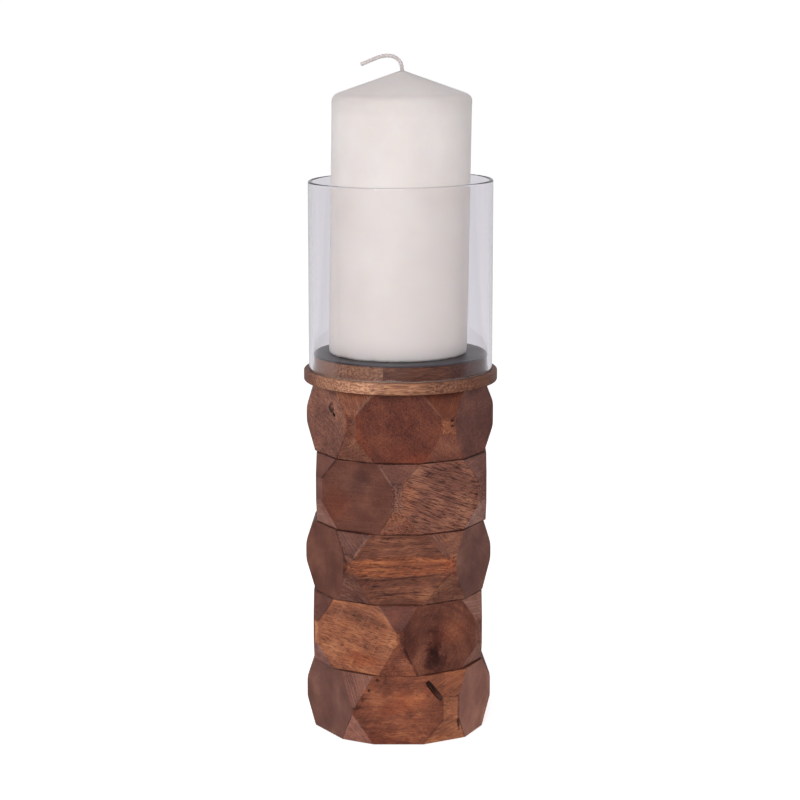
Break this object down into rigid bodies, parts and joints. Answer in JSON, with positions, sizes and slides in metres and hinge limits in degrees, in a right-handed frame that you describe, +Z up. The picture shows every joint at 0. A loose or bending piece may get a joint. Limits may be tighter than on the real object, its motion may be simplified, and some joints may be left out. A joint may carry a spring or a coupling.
{
  "type": "hurricane candle holder",
  "caption": "Table-top candle holder: a faceted wood column with a ledge and plate, a loose open glass chimney and a pillar candle that lift off.",
  "frame": {"origin": "middle of the underside, on the surface that the holder stands on", "axes": "+Z up along the column, -Y the front, +X to the viewer's right"},
  "size_m": [0.1054, 0.1054, 0.3707],
  "materials": {
    "block_wood": "satin clear lacquer on reddish brown hardwood, hand cut facets with eased edges",
    "turned_wood": "satin clear lacquer on turned golden brown hardwood",
    "plate_charcoal": "matte charcoal powder coat",
    "clear_glass": "clear, fire polished rims",
    "candle_wax": "off-white paraffin wax, soft sheen, slightly translucent",
    "wick_cotton": "waxed flat-braided cotton",
    "zinc_steel": "bright zinc plate",
    "dowel_wood": "unfinished fluted beech",
    "base_felt": "self-adhesive black felt"
  },
  "bodies": {
    "holder": {"base_felt_pad": "base_felt", "base_block": "block_wood", "second_block": "block_wood", "third_block": "block_wood", "fourth_block": "block_wood", "top_block": "block_wood", "dowel_1a": "dowel_wood", "dowel_1b": "dowel_wood", "dowel_2a": "dowel_wood", "dowel_2b": "dowel_wood", "dowel_3a": "dowel_wood", "dowel_3b": "dowel_wood", "dowel_4a": "dowel_wood", "dowel_4b": "dowel_wood", "tie_rod": "zinc_steel", "lower_nut": "zinc_steel", "lower_washer": "zinc_steel", "upper_washer": "zinc_steel", "upper_nut": "zinc_steel", "glass_ledge": "turned_wood", "raised_disc": "turned_wood", "ledge_screw_1": "zinc_steel", "ledge_screw_2": "zinc_steel", "ledge_screw_3": "zinc_steel", "candle_plate": "plate_charcoal"},
    "chimney": {"glass_chimney": "clear_glass"},
    "candle": {"candle_wax": "candle_wax", "candle_wick": "wick_cotton", "wick_tab": "zinc_steel"}
  },
  "joints": [
    {"name": "chimney_lift", "type": "slide", "parent": "holder", "child": "chimney", "axis": [0, 0, 1], "range_m": [0, 0.18]},
    {"name": "candle_lift", "type": "slide", "parent": "holder", "child": "candle", "axis": [0, 0, 1], "range_m": [0, 0.1]}
  ]
}
